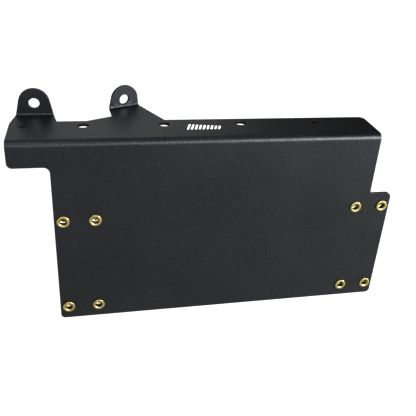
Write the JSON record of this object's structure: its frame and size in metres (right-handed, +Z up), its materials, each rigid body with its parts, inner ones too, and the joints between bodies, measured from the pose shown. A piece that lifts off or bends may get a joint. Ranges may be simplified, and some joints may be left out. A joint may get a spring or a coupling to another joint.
{
  "type": "mounting bracket",
  "caption": "Folded steel accessory plate with a bolt-hole flange, two upright bolt ears and pressed-in rivet nuts, black powder-coated.",
  "frame": {"origin": "on the top surface of the flange, on the line of its bolt holes, midway between the middle two of the four evenly spaced holes", "axes": "+X along the long fold, to the right seen from the front; +Y from the front face towards the back; +Z up, out of the top of the flange"},
  "size_m": [0.3902, 0.0978, 0.2303],
  "materials": {
    "powder_coat": "fine-textured satin black powder coat",
    "zinc_plate": "yellow zinc-plated steel"
  },
  "bodies": {
    "root": {"bracket_plate": "powder_coat", "rivet_nut_lower_outer_left": "zinc_plate", "rivet_nut_lower_inner_left": "zinc_plate", "rivet_nut_lower_inner_right": "zinc_plate", "rivet_nut_lower_outer_right": "zinc_plate", "rivet_nut_upper_outer_left": "zinc_plate", "rivet_nut_upper_inner_left": "zinc_plate", "rivet_nut_upper_inner_right": "zinc_plate", "rivet_nut_upper_outer_right": "zinc_plate"}
  },
  "joints": []
}
